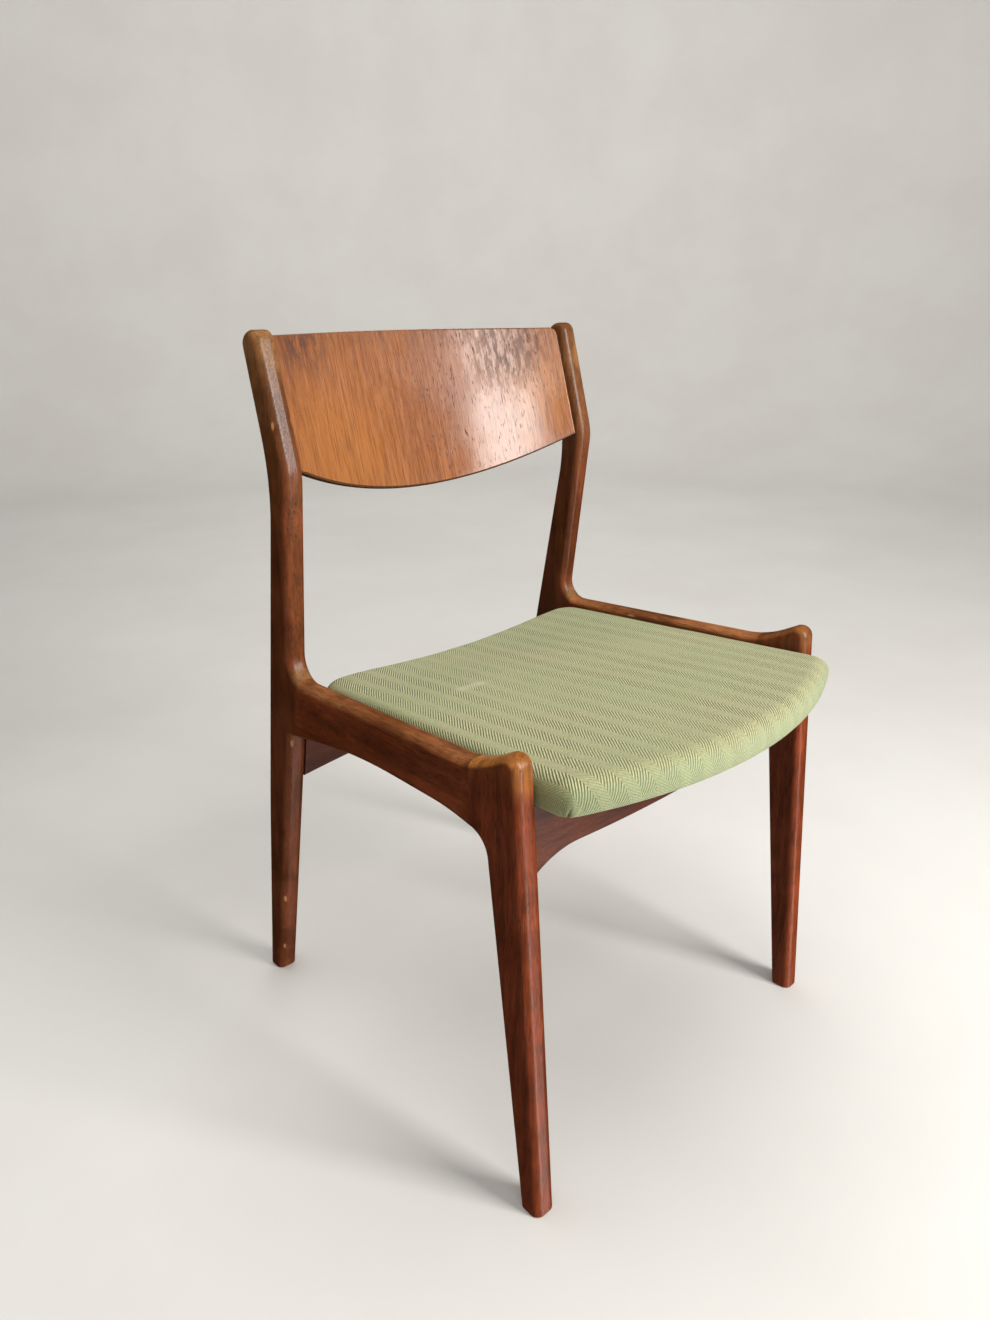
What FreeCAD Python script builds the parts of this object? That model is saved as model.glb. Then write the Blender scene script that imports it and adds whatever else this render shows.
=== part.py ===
import FreeCAD, Part
import math
import os

# Dining chair with an open frame, a bent backrest panel and an upholstered seat.
# Millimetres, +Z up. The chair faces -Y. "Left" is the -X side, as seen from in front.
# While the pieces are built, Y is counted back from the front foot. Each one is then
# moved so that the origin is under the middle of the chair, on the floor.

V = FreeCAD.Vector
UP = V(0, 0, 1)
ALONG_X = V(1, 0, 0)
ALONG_Y = V(0, 1, 0)
FAR = 1500.0                 # half the size of the blocks used to cut space up
TOUCHING = 0.01              # closer than this counts as the same place
NEARLY = 0.1                 # an edge counts as found again within this

# Side frames: two flat frames that stand closer together at the back.
FRONT_HALF_WIDTH = 238.3     # outer face at the front foot, from the middle of the chair
BACK_HALF_WIDTH = 224.5      # outer face at the depth below
TOE_IN_DEPTH = 430.0
BOARD = 24.8                 # thickness of the boards the side frames are cut from
BIG_ROUND = 8.6              # rounding of the front and top edges
SMALL_ROUND = 4.2            # rounding of the rear and lower edges

# Outline of a side frame, going round it from the front toe. Each corner is
# (depth, height, corner radius, rounding of the edges up to the next corner).
FRONT_TOE = (-11.4, 0.0, 0.0, BIG_ROUND)
KNOB = (26.6, 475.6, 11.5, BIG_ROUND)
KNOB_SWEEP = (79.6, 446.1, 110.0, BIG_ROUND)
SEAT_BACK_CURVE = (376.0, 429.3, 22.5, BIG_ROUND)
POST_BEND_FRONT = (349.6, 650.8, 70.0, BIG_ROUND)
POST_TOP_FRONT = (386.95, 782.9, 12.4, 6.4)
POST_TOP_BACK = (411.85, 776.2, 12.4, SMALL_ROUND)
POST_BEND_BACK = (378.4, 639.9, 210.0, SMALL_ROUND)
REAR_LEG_SWEEP = (446.3, 253.0, 3000.0, SMALL_ROUND)
REAR_HEEL = (485.0, 0.0, 0.0, 0.0)
REAR_TOE = (461.6, 0.0, 0.0, BIG_ROUND)
RAIL_BACK_NOTCH = (384.3, 363.2, 6.0, SMALL_ROUND)
RAIL_ARCH_BACK = (253.4, 388.5, 680.0, SMALL_ROUND)
RAIL_ARCH_FRONT = (114.9, 390.2, 250.0, SMALL_ROUND)
LEG_CURVE = (62.1, 382.5, 24.0, SMALL_ROUND)
FRONT_HEEL = (11.5, 0.0, 0.0, 0.0)
SIDE_OUTLINE = [
    FRONT_TOE, KNOB, KNOB_SWEEP, SEAT_BACK_CURVE, POST_BEND_FRONT, POST_TOP_FRONT,
    POST_TOP_BACK, POST_BEND_BACK, REAR_LEG_SWEEP, REAR_HEEL, REAR_TOE, RAIL_BACK_NOTCH,
    RAIL_ARCH_BACK, RAIL_ARCH_FRONT, LEG_CURVE, FRONT_HEEL,
]
FOOT_BEVEL = 1.2             # small bevel around each foot

# Joint lines in a side frame
FRONT_JOINT_Y = 82.3         # the rail butts against the front leg here
REAR_JOINT_LOW = (371.4, 361.4)    # depth and height of the joint with the rear leg
REAR_JOINT_HIGH = (357.8, 450.5)

# Dowels
DOWEL_R = 4.0
DOWEL_GLUE_GAP = 0.05        # around a dowel, inside its hole
DOWEL_END_GAP = 1.0          # past each end of a dowel
SIDE_DOWEL_LENGTH = 44.0
FRONT_JOINT_DOWEL_Z = (402.0, 427.0)
REAR_JOINT_DOWEL_Z = (387.0, 412.0)
CROSS_DOWEL_IN_LEG = 15.0
CROSS_DOWEL_IN_RAIL = 24.0

# Seat: a flat plane that falls towards the back, with the pad standing on it
SEAT_PLANE_Y = 20.0          # the underside passes through this depth and height
SEAT_PLANE_Z = 416.0
SEAT_FALL = 0.0627           # drop per unit of depth
SEAT_SIDE_GAP = 1.2          # to the side frames
SEAT_CORNER_Y = -6.0         # where the sides meet the bowed front
SEAT_BOW = 50.0              # how far the front bows out past its corners
SEAT_REAR_Y = 362.0
SEAT_FRONT_CORNER_R = 18.0
SEAT_REAR_CORNER_R = 26.0
TIGHTEST_CORNER_R = 2.0      # least corner radius of what lies inside the cover
CORNER_SHARE = 0.7           # how much of an inset moves the front corners back
SEAT_HEIGHT = 32.0
SEAT_TOP_ROUND = 15.0
SEAT_BOTTOM_ROUND = 5.0
COVER_THICKNESS = 1.5
HEM_WIDTH = 30.0             # cover turned in under the board
BOARD_INSET = 5.0            # board edge inside the pad's outline
SEAT_BOARD_THICKNESS = 12.0
DUST_COVER_THICKNESS = 0.8
DUST_COVER_INSET = 16.0
REST_CLEARANCE = 0.2         # under the staples, where the seat rests

# Front rail: bowed forwards, with its lower edge curved down to the legs
FRONT_RAIL_END_Y = 34.0      # front face where it meets a leg
FRONT_RAIL_BOW = 16.0
FRONT_RAIL_THICKNESS = 20.0
FRONT_RAIL_BOTTOM_Z = 361.5
FRONT_RAIL_FOOT_Z = 335.5    # lowest point, at the leg
FRONT_RAIL_CURVE_FROM_LEG = 34.4     # where its lower edge turns down
FRONT_RAIL_CURVE_R = 75.0
FRONT_RAIL_DOWEL_Z = (374.0, 397.0)

# Rear rail: leans with the rear legs, with an arched lower edge
REAR_RAIL_SETBACK = 1.5      # front face behind the front edge of the rear leg
REAR_RAIL_THICKNESS = 20.0
REAR_RAIL_TOP_Z = 388.0
REAR_RAIL_END_Z = 298.0
REAR_RAIL_ARCH = 14.0
REAR_RAIL_DOWEL_Z = (322.0, 362.0)
RAIL_EDGE_ROUND = 3.0        # rounding along the long edges of both rails
LEAST_ROUNDED = 5.0          # an edge shorter than this is left sharp

# Corner blocks
BLOCK_LEG = 52.0             # along each rail
BLOCK_THICKNESS = 20.0
BLOCK_POINT = 9.0            # width of the cut ends

# Screws
SCREW_R = 2.0
SCREW_HEAD_R = 4.0
SCREW_HEAD_DEPTH = 2.4
SCREW_HOLE_GAP = 0.1
SCREW_SINK = 4.8             # below the face of the block
WAY_IN = 150.0               # clear length in front of a level screw
BLOCK_SCREW_LENGTH = 34.0
BLOCK_SCREW_BACK_FROM_CORNER = 31.0
SEAT_SCREW_LENGTH = 30.0
SEAT_SCREW_FROM_CORNER = 17.0

# Backrest: a bent sheet with its hollow side to the front
PANEL_LEAN = 0.2994          # backward lean per unit of height
PANEL_Z = 700.0              # height at which the next value holds
PANEL_END_Y = 372.5          # front face at the posts
PANEL_HOLLOW = 52.7          # depth of the bend, square to the sheet
PANEL_END_TRIM = 1.5         # cut off each end, to meet the posts
PANEL_THICKNESS = 9.0
PANEL_TOP = 78.3             # top corners, along the sheet from PANEL_Z
PANEL_TOP_ARCH = 15.8
PANEL_BOTTOM = -52.3         # bottom corners
PANEL_BOTTOM_ARCH = -29.3
PANEL_CORNER_R = 11.0
PANEL_EDGE_ROUND = 2.0
PANEL_DOWEL_R = 2.5
PANEL_DOWEL_IN_POST = 14.0
PANEL_DOWEL_IN_PANEL = 16.0
PANEL_DOWEL_AT = (-30.0, 48.0)

# Staples under the seat
STAPLE_CROWN = 10.0
STAPLE_WIRE = 0.7
STAPLE_WIDTH = 1.2
STAPLE_LEG = 6.0
STAPLE_PITCH = 34.0
STAPLE_INSET = 22.0

toe_slope = (FRONT_HALF_WIDTH - BACK_HALF_WIDTH) / TOE_IN_DEPTH
toe_angle = math.degrees(math.atan(toe_slope))
seat_angle = math.degrees(math.atan(SEAT_FALL))
seat_front_y = SEAT_CORNER_Y - SEAT_BOW
rest_gap = DUST_COVER_THICKNESS + STAPLE_WIRE + REST_CLEARANCE
middle_y = (seat_front_y + REAR_HEEL[0]) / 2
PIECES = {}


# ---------------------------------------------------------------- general shapes

def inner_face_x(y):
    """Half the space between the side frames at depth y."""
    return FRONT_HALF_WIDTH - toe_slope * y - BOARD / math.cos(math.radians(toe_angle))


def mirrored(shape):
    return shape.mirror(V(0, 0, 0), ALONG_X)


def block(low, high):
    return Part.makeBox(high.x - low.x, high.y - low.y, high.z - low.z, low)


def prism(points, travel):
    """A straight-sided solid: a closed run of points, moved along travel."""
    return Part.Face(Part.makePolygon(points + [points[0]])).extrude(travel)


def rod(middle, direction, length, radius):
    start = middle - direction * (length / 2)
    return Part.makeCylinder(radius, length, start, direction)


def between_frames(gap):
    """The space between the two side frames, less a gap on each side."""
    x_front = inner_face_x(-FAR) - gap
    x_back = inner_face_x(FAR) - gap
    plan = [V(-x_front, -FAR, -FAR), V(x_front, -FAR, -FAR), V(x_back, FAR, -FAR), V(-x_back, FAR, -FAR)]
    return prism(plan, UP * (2 * FAR))


def seat_place(shape):
    """Move a shape from the seat's own level frame to where the seat sits."""
    shape = shape.copy()
    shape.rotate(V(0, 0, 0), ALONG_X, -seat_angle)
    shape.translate(V(0, SEAT_PLANE_Y, SEAT_PLANE_Z))
    return shape


def seat_local_y(y):
    return (y - SEAT_PLANE_Y) / math.cos(math.radians(seat_angle))


def seat_plane_z(y):
    return SEAT_PLANE_Z - SEAT_FALL * (y - SEAT_PLANE_Y)


def below_seat(gap):
    """All space under the seat's underside, less a gap."""
    top = -gap
    return seat_place(block(V(-FAR, -FAR, top - FAR), V(FAR, FAR, top)))


def cut_all(shape, tools):
    for tool in tools:
        shape = shape.cut(tool)
    return shape


def group(shapes):
    return shapes[0] if len(shapes) == 1 else Part.Compound(shapes)


# ---------------------------------------------------------------- side frames

def outline_edges(corners):
    """Edges round an outline of rounded corners, each with its rounding at both ends."""
    spots = [V(0, c[0], c[1]) for c in corners]
    arcs = []
    for i, corner in enumerate(corners):
        spot = spots[i]
        radius = corner[2]
        if radius == 0:
            arcs.append((spot, spot, None))
            continue
        back = (spots[i - 1] - spot).normalize()
        ahead = (spots[(i + 1) % len(spots)] - spot).normalize()
        half_angle = back.getAngle(ahead) / 2
        run = radius / math.tan(half_angle)
        inward = (back + ahead).normalize()
        crest = spot + inward * (radius / math.sin(half_angle) - radius)
        arcs.append((spot + back * run, spot + ahead * run, crest))
    edges = []
    for i, (start, end, crest) in enumerate(arcs):
        before = corners[i - 1][3]
        after = corners[i][3]
        if crest is not None:
            edges.append((Part.Arc(start, crest, end).toShape(), before, after))
        following = arcs[(i + 1) % len(arcs)][0]
        edges.append((Part.LineSegment(end, following).toShape(), after, after))
    return edges


def rounding_list(solid, edges):
    """For each long edge of the frame: its number and its rounding at each end."""
    rounding = []
    for number, edge in enumerate(solid.Edges, 1):
        centre = edge.CenterOfMass
        for drawn, before, after in edges:
            target = drawn.CenterOfMass
            apart = math.hypot(centre.y - target.y, centre.z - target.z)
            if before <= 0 or apart > TOUCHING or abs(edge.Length - drawn.Length) > TOUCHING:
                continue
            start = edge.valueAt(edge.FirstParameter)
            drawn_start = drawn.valueAt(drawn.FirstParameter)
            off = math.hypot(start.y - drawn_start.y, start.z - drawn_start.z)
            runs_same_way = off < TOUCHING
            ends = (before, after) if runs_same_way else (after, before)
            rounding.append((number, ends[0], ends[1]))
    return rounding


def rounded_side_frame():
    """A whole side frame, lying in its own plane with its outer face at X = 0."""
    edges = outline_edges(SIDE_OUTLINE)
    flat = Part.Face(Part.Wire([edge for edge, before, after in edges]))
    solid = flat.extrude(V(-BOARD, 0, 0))
    document = FreeCAD.newDocument("side")
    base = document.addObject("Part::Feature", "base")
    base.Shape = solid
    soft = document.addObject("Part::Fillet", "soft")
    soft.Base = base
    soft.Edges = rounding_list(solid, edges)
    document.recompute()
    result = soft.Shape.copy()
    FreeCAD.closeDocument(document.Name)
    foot_edges = [e for e in result.Edges if e.BoundBox.ZMax < TOUCHING]
    return result.makeChamfer(FOOT_BEVEL, foot_edges)


def place_right(shape):
    """Stand a shape from the side frame's plane in place, on the right."""
    shape = shape.copy()
    shape.rotate(V(0, 0, 0), UP, toe_angle)
    shape.translate(V(FRONT_HALF_WIDTH, 0, 0))
    return shape


def rear_joint_y(z):
    low_y, low_z = REAR_JOINT_LOW
    high_y, high_z = REAR_JOINT_HIGH
    return low_y + (high_y - low_y) * (z - low_z) / (high_z - low_z)


def behind_rear_joint():
    corners = [V(-FAR, rear_joint_y(-FAR), -FAR), V(-FAR, rear_joint_y(FAR), FAR), V(-FAR, 2 * FAR, FAR)]
    corners.append(V(-FAR, 2 * FAR, -FAR))
    return prism(corners, ALONG_X * (2 * FAR))


def side_dowels(extra_radius, extra_length):
    """Dowels that hold one side rail to its legs, in the side frame's plane."""
    spots = [V(-BOARD / 2, FRONT_JOINT_Y, z) for z in FRONT_JOINT_DOWEL_Z]
    spots += [V(-BOARD / 2, rear_joint_y(z), z) for z in REAR_JOINT_DOWEL_Z]
    length = SIDE_DOWEL_LENGTH + 2 * extra_length
    return [rod(spot, ALONG_Y, length, DOWEL_R + extra_radius) for spot in spots]


# ---------------------------------------------------------------- rails across

def rear_rail_front_y(z):
    """Front face of the rear rail, parallel to the front edge of the rear leg."""
    toe_y, toe_z = REAR_TOE[0], REAR_TOE[1]
    notch_y, notch_z = RAIL_BACK_NOTCH[0], RAIL_BACK_NOTCH[1]
    return toe_y + (notch_y - toe_y) * (z - toe_z) / (notch_z - toe_z) + REAR_RAIL_SETBACK


def front_rail_mid_y(x):
    half = inner_face_x(FRONT_RAIL_END_Y)
    return FRONT_RAIL_END_Y - FRONT_RAIL_BOW * (1 - (x / half) ** 2) + FRONT_RAIL_THICKNESS / 2


def cross_dowels(centre_y, heights, extra_radius, extra_length):
    """Dowels from both legs into a rail, at the given heights."""
    rods = []
    for z in heights:
        y = centre_y(z)
        x = inner_face_x(y) + (CROSS_DOWEL_IN_LEG - CROSS_DOWEL_IN_RAIL) / 2
        length = CROSS_DOWEL_IN_LEG + CROSS_DOWEL_IN_RAIL + 2 * extra_length
        right = rod(V(x, y, z), ALONG_X, length, DOWEL_R + extra_radius)
        rods += [right, mirrored(right)]
    return rods


def front_rail_dowels(extra_radius, extra_length):
    end_y = front_rail_mid_y(inner_face_x(FRONT_RAIL_END_Y))
    return cross_dowels(lambda z: end_y, FRONT_RAIL_DOWEL_Z, extra_radius, extra_length)


def rear_rail_dowels(extra_radius, extra_length):
    def centre_y(z):
        return rear_rail_front_y(z) + REAR_RAIL_THICKNESS / 2
    return cross_dowels(centre_y, REAR_RAIL_DOWEL_Z, extra_radius, extra_length)


def bowed_wall(end_y, bow, thickness, half):
    """A wall in plan: its front is an arc through both ends and the middle."""
    radius = (half ** 2 + bow ** 2) / (2 * bow)
    centre = V(0, end_y - bow + radius, 0)
    outer = Part.makeCylinder(radius, 2 * FAR, centre - UP * FAR)
    inner = Part.makeCylinder(radius - thickness, 2 * FAR, centre - UP * FAR)
    front_half = block(V(-FAR, end_y - bow - thickness, -FAR), V(FAR, centre.y, FAR))
    return outer.cut(inner).common(front_half)


def make_front_rail():
    half = inner_face_x(FRONT_RAIL_END_Y)
    wide = half + BOARD
    curve_x = half - FRONT_RAIL_CURVE_FROM_LEG
    face_corners = [
        (-wide, FAR, 0.0, 0.0), (-wide, FRONT_RAIL_FOOT_Z, 0.0, 0.0),
        (-half, FRONT_RAIL_FOOT_Z, 0.0, 0.0),
        (-curve_x, FRONT_RAIL_BOTTOM_Z, FRONT_RAIL_CURVE_R, 0.0),
        (curve_x, FRONT_RAIL_BOTTOM_Z, FRONT_RAIL_CURVE_R, 0.0),
        (half, FRONT_RAIL_FOOT_Z, 0.0, 0.0),
        (wide, FRONT_RAIL_FOOT_Z, 0.0, 0.0), (wide, FAR, 0.0, 0.0),
    ]
    outline = Part.Wire([edge for edge, before, after in outline_edges(face_corners)])
    face_on = Part.Face(outline).extrude(V(FAR, 0, 0))
    face_on.rotate(V(0, 0, 0), UP, -90)
    face_on = face_on.mirror(V(0, 0, 0), ALONG_Y)
    wall = bowed_wall(FRONT_RAIL_END_Y, FRONT_RAIL_BOW, FRONT_RAIL_THICKNESS, half)
    rail = wall.common(face_on).common(below_seat(rest_gap)).common(between_frames(0))
    low = [e for e in rail.Edges if e.BoundBox.ZMax < FRONT_RAIL_BOTTOM_Z + RAIL_EDGE_ROUND]
    lower = [e for e in low if e.BoundBox.XLength > LEAST_ROUNDED]
    return rail.makeFillet(RAIL_EDGE_ROUND, lower)


def make_rear_rail():
    half = inner_face_x(rear_rail_front_y(REAR_RAIL_END_Z))
    wide = half + BOARD
    crest = V(0, 0, REAR_RAIL_END_Z + REAR_RAIL_ARCH)
    arch = Part.Arc(V(-half, 0, REAR_RAIL_END_Z), crest, V(half, 0, REAR_RAIL_END_Z))
    corners = [V(half, 0, REAR_RAIL_END_Z), V(wide, 0, REAR_RAIL_END_Z), V(wide, 0, REAR_RAIL_TOP_Z)]
    corners += [V(-wide, 0, REAR_RAIL_TOP_Z), V(-wide, 0, REAR_RAIL_END_Z), V(-half, 0, REAR_RAIL_END_Z)]
    outline = Part.Wire([arch.toShape()] + Part.makePolygon(corners).Edges)
    face_on = Part.Face(outline).extrude(V(0, FAR, 0))
    side = [V(-FAR, rear_rail_front_y(-FAR), -FAR), V(-FAR, rear_rail_front_y(FAR), FAR)]
    side += [p + V(0, REAR_RAIL_THICKNESS, 0) for p in reversed(side)]
    leaning = prism(side, ALONG_X * (2 * FAR))
    rail = leaning.common(face_on).common(between_frames(0))
    edges = [e for e in rail.Edges if e.BoundBox.XLength > half]
    return rail.makeFillet(RAIL_EDGE_ROUND, edges)


# ---------------------------------------------------------------- corner blocks and screws

def corner_block(corner, back, rail_thickness):
    """A block in a right-hand corner. back is +1 where it points to the back."""
    reach = BLOCK_LEG + BLOCK_POINT
    into_rail = corner.y - back * rail_thickness / 2
    plan = [
        V(corner.x + BOARD, into_rail, -FAR),
        V(corner.x + BOARD, corner.y + back * reach, -FAR),
        V(corner.x - BLOCK_POINT, corner.y + back * reach, -FAR),
        V(corner.x - reach, corner.y + back * BLOCK_POINT, -FAR),
        V(corner.x - reach, into_rail, -FAR),
    ]
    column = prism(plan, UP * (2 * FAR))
    slab = below_seat(rest_gap).cut(below_seat(rest_gap + BLOCK_THICKNESS))
    return column.common(slab).common(between_frames(0))


def screw(tip, direction, length, gap):
    """A countersunk screw. direction points from its tip out through its head."""
    shank = Part.makeCylinder(SCREW_R + gap, length, tip, direction)
    neck = tip + direction * (length - SCREW_HEAD_DEPTH)
    head = Part.makeCone(SCREW_R + gap, SCREW_HEAD_R + gap, SCREW_HEAD_DEPTH, neck, direction)
    return shank.fuse(head).removeSplitter()


def counterbore(head_top, direction):
    """Clear way in to a screw's head."""
    return Part.makeCylinder(SCREW_HEAD_R + 2 * SCREW_HOLE_GAP, WAY_IN, head_top, direction)


def block_screws(corner, back, gap):
    """Two level screws through a right-hand block: one to the side, one across."""
    z = seat_plane_z(corner.y) - rest_gap - BLOCK_THICKNESS / 2
    away = BLOCK_SCREW_BACK_FROM_CORNER
    slope = SEAT_FALL * back * away
    reach = BLOCK_LEG + BLOCK_POINT
    wall = reach + BLOCK_POINT - away
    depth = BLOCK_SCREW_LENGTH
    side_head = V(corner.x - wall, corner.y + back * away, z - slope)
    cross_head = V(corner.x - away, corner.y + back * wall, z)
    to_side = V(-1, 0, 0)
    to_cross = V(0, back, 0)
    screws = []
    for head, outward in ((side_head, to_side), (cross_head, to_cross)):
        sunk = head - outward * SCREW_SINK
        screws.append((screw(sunk - outward * depth, outward, depth, gap), counterbore(sunk, outward)))
    return screws


def seat_screw(corner, back, gap):
    """The screw up through a right-hand block into the seat board."""
    x = corner.x - SEAT_SCREW_FROM_CORNER
    y = corner.y + back * SEAT_SCREW_FROM_CORNER
    down = V(0, -math.sin(math.radians(seat_angle)), -math.cos(math.radians(seat_angle)))
    face = V(x, y, seat_plane_z(y)) + down * (rest_gap + BLOCK_THICKNESS)
    return screw(face - down * SEAT_SCREW_LENGTH, down, SEAT_SCREW_LENGTH, gap)


# ---------------------------------------------------------------- backrest

def panel_radius():
    """The bend passes through both posts and the hollow's deepest point."""
    half_chord = inner_face_x(PANEL_END_Y)
    return (half_chord ** 2 + PANEL_HOLLOW ** 2) / (2 * PANEL_HOLLOW)


def panel_place(shape):
    """From the panel's own frame (X across, Y square to the sheet, Z along it)."""
    shape = shape.copy()
    shape.rotate(V(0, 0, 0), ALONG_X, -math.degrees(math.atan(PANEL_LEAN)))
    shape.translate(V(0, PANEL_END_Y, PANEL_Z))
    return shape


def make_panel():
    radius = panel_radius()
    centre = V(0, PANEL_HOLLOW - radius, -FAR)
    sheet = Part.makeCylinder(radius + PANEL_THICKNESS, 2 * FAR, centre)
    sheet = sheet.cut(Part.makeCylinder(radius, 2 * FAR, centre))
    half_chord = inner_face_x(PANEL_END_Y)
    sheet = sheet.common(block(V(-FAR, -half_chord, -FAR), V(FAR, FAR, FAR)))
    half = half_chord + PANEL_END_TRIM
    front = -half_chord
    high = V(0, front, PANEL_TOP + PANEL_TOP_ARCH)
    top = Part.Arc(V(half, front, PANEL_TOP), high, V(-half, front, PANEL_TOP))
    left = Part.LineSegment(V(-half, front, PANEL_TOP), V(-half, front, PANEL_BOTTOM))
    low = V(0, front, PANEL_BOTTOM + PANEL_BOTTOM_ARCH)
    bottom = Part.Arc(V(-half, front, PANEL_BOTTOM), low, V(half, front, PANEL_BOTTOM))
    right = Part.LineSegment(V(half, front, PANEL_BOTTOM), V(half, front, PANEL_TOP))
    outline = Part.Wire([part.toShape() for part in (top, left, bottom, right)])
    face_on = Part.Face(outline).extrude(V(0, FAR, 0))
    corners = [e for e in face_on.Edges if e.BoundBox.YLength > FAR / 2 and e.CenterOfMass.z > 0]
    face_on = face_on.makeFillet(PANEL_CORNER_R, corners)
    panel = sheet.common(face_on)
    edges = [e for e in panel.Edges if e.BoundBox.XLength > half]
    panel = panel.makeFillet(PANEL_EDGE_ROUND, edges)
    return panel_place(panel).common(between_frames(0))


def panel_dowels(extra_radius, extra_length):
    """Dowels that follow the sheet's own direction at its ends."""
    middle_radius = panel_radius() + PANEL_THICKNESS / 2
    angle = math.asin(inner_face_x(PANEL_END_Y) / middle_radius)
    centre_y = PANEL_HOLLOW - panel_radius()
    end = V(middle_radius * math.sin(angle), centre_y + middle_radius * math.cos(angle), 0)
    along = V(math.cos(angle), -math.sin(angle), 0)
    rods = []
    for height in PANEL_DOWEL_AT:
        length = PANEL_DOWEL_IN_POST + PANEL_DOWEL_IN_PANEL + 2 * extra_length
        middle = end + along * ((PANEL_DOWEL_IN_POST - PANEL_DOWEL_IN_PANEL) / 2) + UP * height
        right = panel_place(rod(middle, along, length, PANEL_DOWEL_R + extra_radius))
        rods += [right, mirrored(right)]
    return rods


# ---------------------------------------------------------------- seat

def seat_prism(inset, low, high):
    """The seat's outline, drawn in by inset, between two heights of its own frame."""
    front_corner = seat_local_y(SEAT_CORNER_Y) + inset * CORNER_SHARE
    rear = seat_local_y(SEAT_REAR_Y) - inset
    front = seat_local_y(seat_front_y) + inset
    gap = SEAT_SIDE_GAP + inset
    x_front = inner_face_x(SEAT_CORNER_Y) - gap
    x_rear = inner_face_x(SEAT_REAR_Y) - gap
    bow = Part.Arc(V(-x_front, front_corner, low), V(0, front, low), V(x_front, front_corner, low))
    run = [V(x_front, front_corner, low), V(x_rear, rear, low)]
    run += [V(-x_rear, rear, low), V(-x_front, front_corner, low)]
    outline = Part.Wire([bow.toShape()] + Part.makePolygon(run).Edges)
    solid = Part.Face(outline).extrude(UP * (high - low))
    upright = [e for e in solid.Edges if e.BoundBox.ZLength > (high - low) / 2]
    front_edges = [e for e in upright if e.CenterOfMass.y < rear / 2]
    rear_edges = [e for e in upright if e.CenterOfMass.y > rear / 2]
    solid = solid.makeFillet(max(SEAT_REAR_CORNER_R - inset, TIGHTEST_CORNER_R), rear_edges)
    front_spots = [e.CenterOfMass for e in front_edges]
    again = []
    for edge in solid.Edges:
        if any((edge.CenterOfMass - spot).Length < NEARLY for spot in front_spots):
            again.append(edge)
    return solid.makeFillet(max(SEAT_FRONT_CORNER_R - inset, TIGHTEST_CORNER_R), again)


def pad(inset):
    """The upholstered shape with soft edges, drawn in by inset."""
    solid = seat_prism(inset, inset, SEAT_HEIGHT - inset)
    middle = SEAT_HEIGHT / 2
    upper = [e for e in solid.Edges if e.BoundBox.ZMin > middle]
    solid = solid.makeFillet(SEAT_TOP_ROUND - inset, upper)
    lower = [e for e in solid.Edges if e.BoundBox.ZMax < inset + TOUCHING]
    return solid.makeFillet(SEAT_BOTTOM_ROUND - inset, lower)


def seat_board():
    return seat_prism(BOARD_INSET, COVER_THICKNESS, COVER_THICKNESS + SEAT_BOARD_THICKNESS)


def staple(x, y, angle, gap):
    """A staple driven up from under the dust cover."""
    half = STAPLE_CROWN / 2
    wide = STAPLE_WIDTH / 2 + gap
    low = -DUST_COVER_THICKNESS - STAPLE_WIRE
    crown = block(V(-half - gap, -wide, low), V(half + gap, wide, low + STAPLE_WIRE))
    legs = []
    for side in (-1, 1):
        outer = side * (half + gap)
        inner = side * (half - STAPLE_WIRE - gap)
        low_x, high_x = min(outer, inner), max(outer, inner)
        legs.append(block(V(low_x, -wide, low), V(high_x, wide, low + STAPLE_LEG)))
    body = crown.fuse(legs).removeSplitter()
    body.rotate(V(0, 0, 0), UP, angle)
    body.translate(V(x, y, 0))
    return body


def staples(gap):
    """Staples all round, following the seat's outline."""
    rim = seat_prism(STAPLE_INSET, 0, COVER_THICKNESS)
    floor_face = [f for f in rim.Faces if f.BoundBox.ZMax < TOUCHING][0]
    ring = floor_face.OuterWire
    count = int(ring.Length / STAPLE_PITCH)
    found = []
    for edge in ring.OrderedEdges:
        share = max(1, round(count * edge.Length / ring.Length))
        if edge.Length < STAPLE_CROWN * 2:
            continue
        for k in range(share):
            span = edge.LastParameter - edge.FirstParameter
            at = edge.FirstParameter + span * (k + 0.5) / share
            spot = edge.valueAt(at)
            along = edge.tangentAt(at)
            angle = math.degrees(math.atan2(along.y, along.x))
            found.append(staple(spot.x, spot.y, angle, gap))
    return found


# ---------------------------------------------------------------- putting it together

def keep(name, shape):
    PIECES[name] = shape


def build_side_frames(panel_holes, front_holes, rear_holes, screw_holes):
    frame = rounded_side_frame()
    holes = side_dowels(DOWEL_GLUE_GAP, DOWEL_END_GAP)
    ahead = block(V(-FAR, -FAR, -FAR), V(FAR, FRONT_JOINT_Y, FAR))
    behind = behind_rear_joint()
    front_leg = cut_all(place_right(cut_all(frame.common(ahead), holes)), front_holes + screw_holes)
    rear_holes = rear_holes + panel_holes + screw_holes
    rear_leg = cut_all(place_right(cut_all(frame.common(behind), holes)), rear_holes)
    rail = cut_all(place_right(cut_all(frame.cut(ahead).cut(behind), holes)), screw_holes)
    dowels = place_right(group(side_dowels(0, 0)))
    right = {"front_leg": front_leg, "rear_leg": rear_leg, "side_rail": rail, "side_rail_dowels": dowels}
    for name, shape in right.items():
        keep(name + "_right", shape)
        keep(name + "_left", mirrored(shape))


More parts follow.
